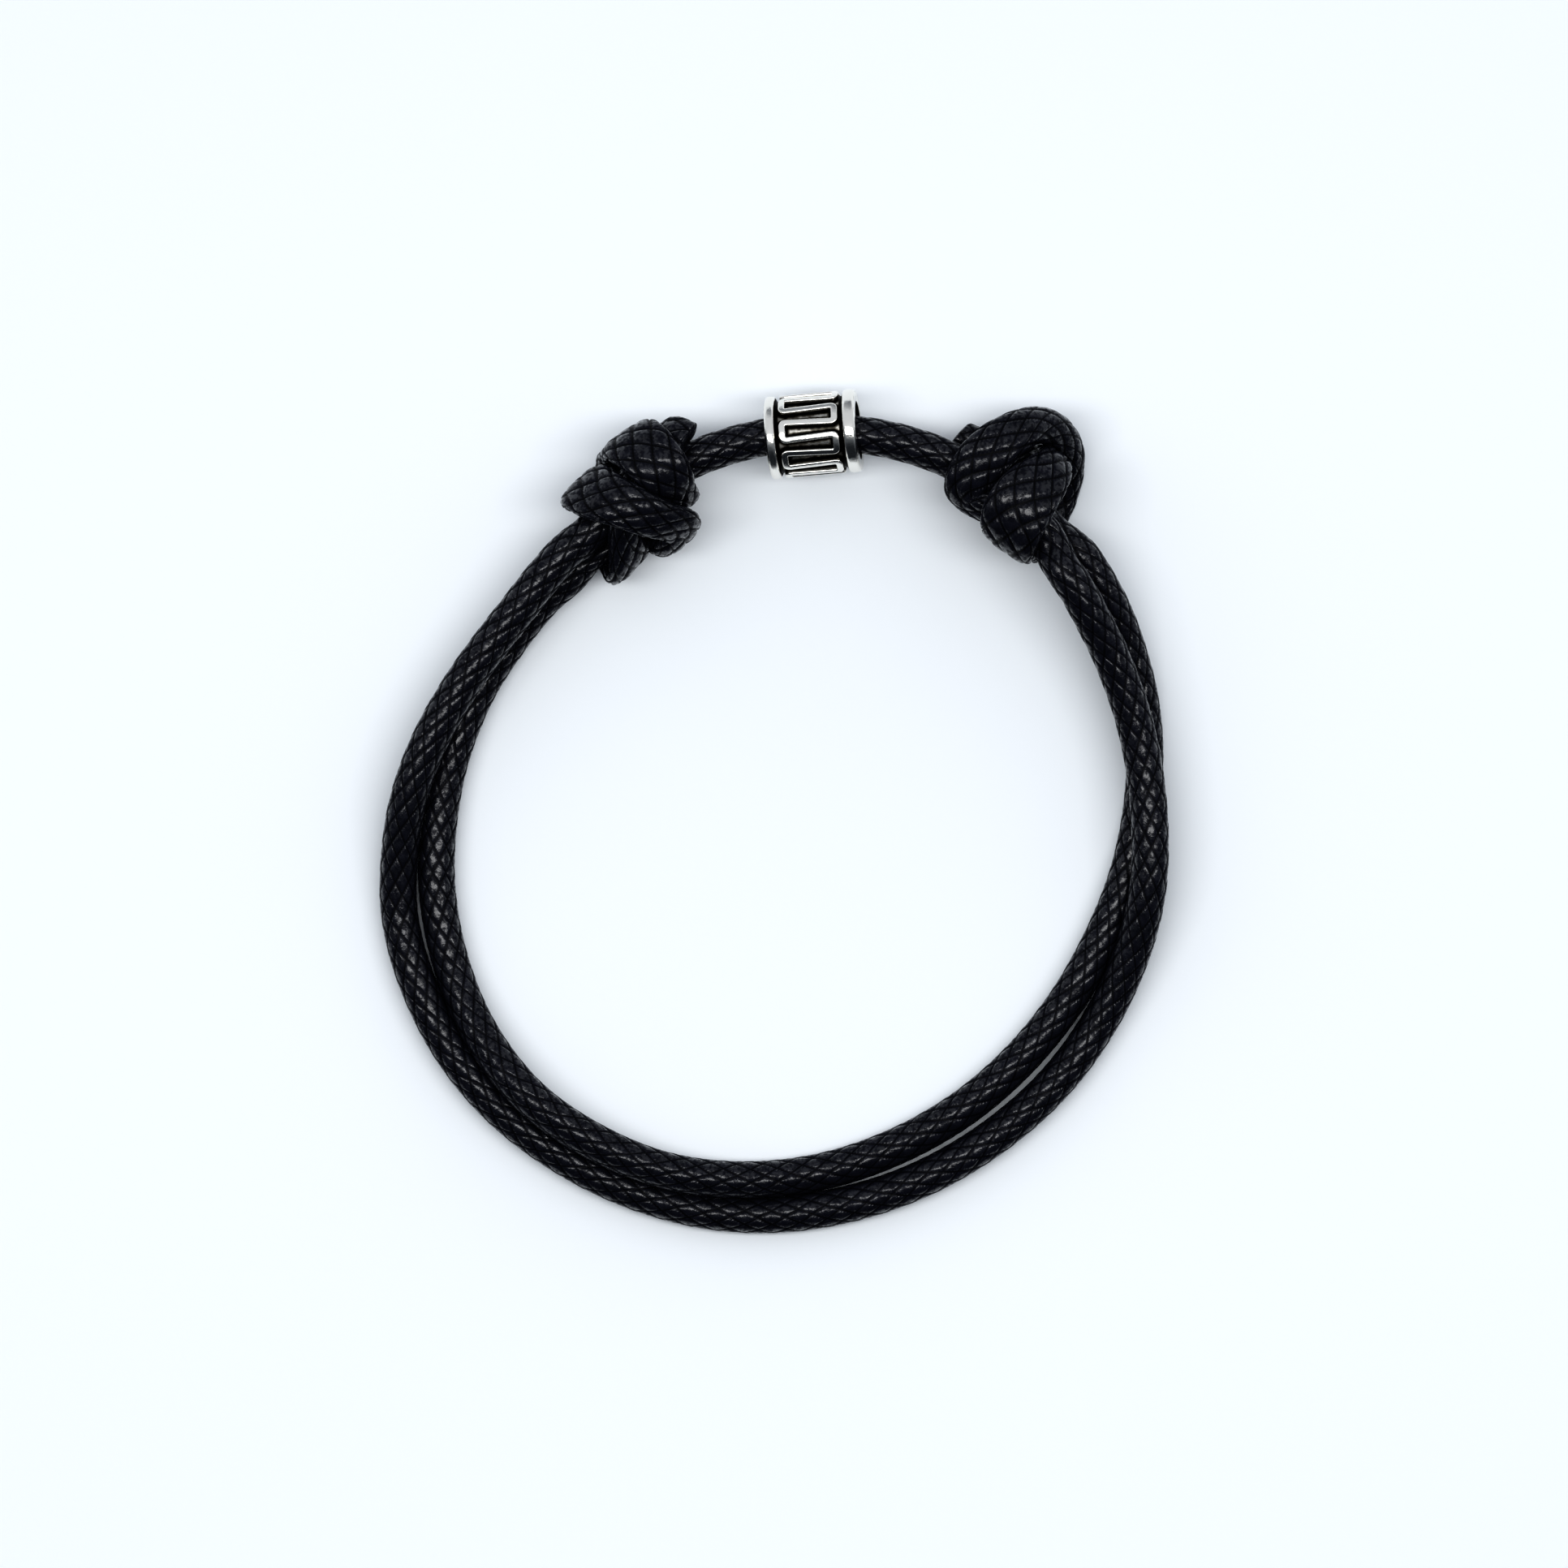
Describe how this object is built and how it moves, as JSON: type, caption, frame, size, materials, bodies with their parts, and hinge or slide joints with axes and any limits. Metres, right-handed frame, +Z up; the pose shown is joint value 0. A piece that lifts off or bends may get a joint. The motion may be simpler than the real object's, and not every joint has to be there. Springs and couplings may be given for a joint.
{
  "type": "cord bracelet",
  "caption": "Bracelet of black waxed braided cord lying in a ring, closed by sliding knots that set its size, with a patterned metal tube bead between them.",
  "frame": {"origin": "on the table, under the middle of the whole bracelet's outline", "axes": "+Z up from the table that the bracelet lies on, +Y from the middle of the ring towards the bead, +X from the left knot towards the right knot"},
  "size_m": [0.0606, 0.0649, 0.0101],
  "materials": {
    "cord": "black waxed braid, semi-gloss",
    "bead_metal": "antique silver, polished high spots and dark recesses"
  },
  "bodies": {
    "cord": {"left_knot": "cord", "right_knot": "cord", "inner_strand": "cord", "outer_strand": "cord", "bead_strand": "cord"},
    "bead": {"bead": "bead_metal"}
  },
  "joints": [
    {"name": "bead_slide", "type": "hinge", "parent": "cord", "child": "bead", "pos_m": [0.0036, 0.0048, 0.005], "axis": [0, 0, 1], "range_deg": [-15, 10]}
  ]
}
